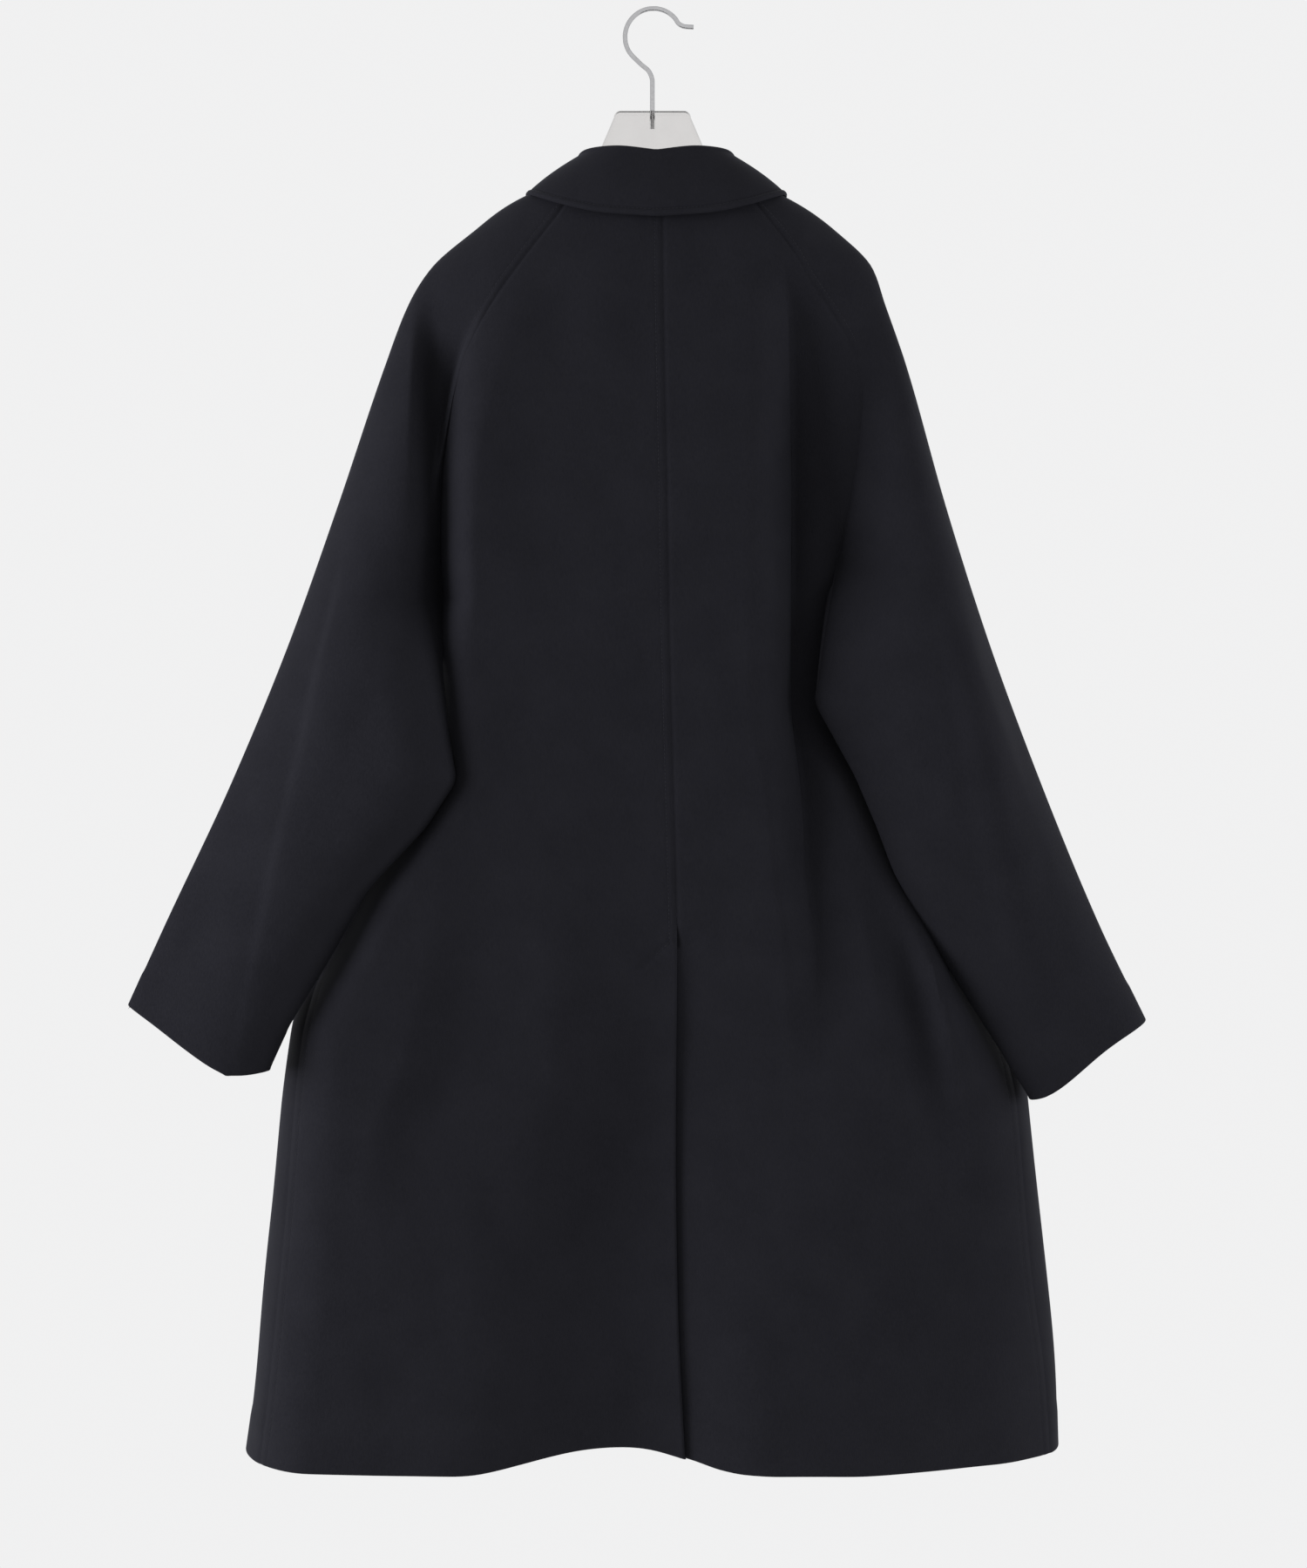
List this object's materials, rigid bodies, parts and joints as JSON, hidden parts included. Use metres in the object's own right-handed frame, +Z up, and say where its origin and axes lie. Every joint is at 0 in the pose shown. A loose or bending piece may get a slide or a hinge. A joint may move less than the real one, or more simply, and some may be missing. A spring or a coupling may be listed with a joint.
{
  "type": "balmacaan coat on a hanger",
  "caption": "Knee-length dark wool raglan overcoat with a turned-down collar and a centre-back vent, hung closed on a clear hanger with a wire hook.",
  "frame": {"origin": "inside of the hook's top, where the hanger rests on what holds it", "axes": "+Z up, the coat's back faces -Y and its front +Y, its wearer's left is at -X"},
  "size_m": [0.8736, 0.1987, 1.2639],
  "materials": {
    "navy_wool": "dense milled wool with a short soft nap, matt",
    "clear_acrylic": "clear, glossy",
    "bright_steel": "bright drawn wire"
  },
  "bodies": {
    "root": {"back_left": "navy_wool", "back_right": "navy_wool", "front_left": "navy_wool", "front_right": "navy_wool", "sleeve_back_left": "navy_wool", "sleeve_front_left": "navy_wool", "sleeve_back_right": "navy_wool", "sleeve_front_right": "navy_wool", "collar_stand": "navy_wool", "collar_fall": "navy_wool", "hanger_body": "clear_acrylic", "hanger_hook": "bright_steel"}
  },
  "joints": []
}
